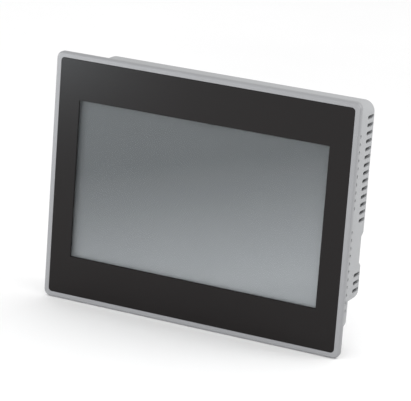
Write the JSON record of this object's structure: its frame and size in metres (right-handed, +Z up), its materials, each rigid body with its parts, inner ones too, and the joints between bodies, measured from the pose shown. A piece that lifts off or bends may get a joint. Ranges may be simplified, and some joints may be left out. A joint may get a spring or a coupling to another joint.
{
  "type": "hmi touch panel",
  "caption": "Flush-mounting operator touch panel: glass front with black border, silver bezel, vented rear housing with connectors below and a battery door behind.",
  "frame": {"origin": "centre of the seating plane, where the back of the bezel flange meets the cabinet panel", "axes": "+X right and +Z up as the operator sees the screen, +Y back through the cabinet panel, away from the operator"},
  "size_m": [0.2686, 0.0437, 0.2092],
  "materials": {
    "bezel_plastic": "fine satin grain",
    "housing_plastic": "fine moulded grain",
    "cover_glass": "polished",
    "black_ink": "printed black behind glass",
    "adhesive": "black foam tape",
    "sensor_glass": "clear",
    "amber_film": "polyimide film",
    "foam": "closed-cell foam",
    "gasket_rubber": "matt",
    "plated_sheet": "zinc-plated sheet",
    "lcd_grey": "unlit display",
    "white_film": "diffuser",
    "acrylic": "clear acrylic",
    "lamp_strip": "flexible strip",
    "white_plastic": "moulded",
    "board_green": "solder mask",
    "screw_steel": "zinc plated",
    "brass": "turned",
    "chip_black": "moulded epoxy",
    "aluminium": "natural extrusion",
    "capacitor_can": "can",
    "ferrite": "matt",
    "black_plastic": "moulded",
    "green_plastic": "moulded",
    "nickel_shell": "nickel plated",
    "switch_red": "moulded",
    "cell_steel": "stainless can",
    "label": "blank foil"
  },
  "bodies": {
    "panel": {"front_bezel": "bezel_plastic", "touch_glass": "cover_glass", "border_mask": "black_ink", "glass_tape": "adhesive", "touch_sensor": "sensor_glass", "touch_tail": "amber_film", "dust_seal": "foam", "panel_gasket": "gasket_rubber", "lcd_front_frame": "plated_sheet", "lcd_cell": "lcd_grey", "diffuser_film": "white_film", "light_guide": "acrylic", "led_bar": "lamp_strip", "lcd_rear_frame": "white_plastic", "lcd_driver_board": "board_green", "lcd_pads": "foam", "display_flex": "amber_film", "chassis_plate": "plated_sheet", "chassis_screws": "screw_steel", "board_spacers": "brass", "main_board": "board_green", "board_screws": "screw_steel", "flex_sockets": "white_plastic", "processor": "chip_black", "heat_sink": "aluminium", "memory_chips": "chip_black", "interface_chips": "chip_black", "capacitors": "capacitor_can", "inductors": "ferrite", "buzzer": "black_plastic", "power_socket": "green_plastic", "power_pins": "screw_steel", "ethernet_port": "nickel_shell", "usb_host_port": "nickel_shell", "usb_client_port": "nickel_shell", "serial_port_a": "nickel_shell", "serial_port_b": "nickel_shell", "jack_screws": "nickel_shell", "switch_spacers": "brass", "switch_board": "board_green", "dip_switch_body": "switch_red", "reset_switch": "black_plastic", "battery_holder": "black_plastic", "coin_cell": "cell_steel", "rear_cover": "housing_plastic", "mount_inserts": "brass", "cover_screws": "screw_steel", "door_pin": "screw_steel", "earth_screw": "brass", "rating_plate": "label"},
    "plug": {"terminal_plug": "green_plastic", "clamp_screws": "screw_steel"},
    "dip_1": {"dip_lever_1": "white_plastic"},
    "dip_2": {"dip_lever_2": "white_plastic"},
    "dip_3": {"dip_lever_3": "white_plastic"},
    "dip_4": {"dip_lever_4": "white_plastic"},
    "reset": {"reset_button": "black_plastic"},
    "door": {"battery_door": "housing_plastic"}
  },
  "joints": [
    {"name": "plug_pull", "type": "slide", "parent": "panel", "child": "plug", "axis": [0, 0, -1], "range_m": [0, 0.012]},
    {"name": "dip_slide_1", "type": "slide", "parent": "panel", "child": "dip_1", "axis": [0, 0, 1], "range_m": [0, 0.0018]},
    {"name": "dip_slide_2", "type": "slide", "parent": "panel", "child": "dip_2", "axis": [0, 0, 1], "range_m": [0, 0.0018]},
    {"name": "dip_slide_3", "type": "slide", "parent": "panel", "child": "dip_3", "axis": [0, 0, 1], "range_m": [0, 0.0018]},
    {"name": "dip_slide_4", "type": "slide", "parent": "panel", "child": "dip_4", "axis": [0, 0, 1], "range_m": [0, 0.0018]},
    {"name": "reset_press", "type": "slide", "parent": "panel", "child": "reset", "axis": [0, -1, 0], "range_m": [0, 0.0005], "stiffness_N_per_m": 400},
    {"name": "door_hinge", "type": "hinge", "parent": "panel", "child": "door", "pos_m": [-0.0971, 0.037, -0.03], "axis": [0, 0, 1], "range_deg": [0, 95]}
  ]
}
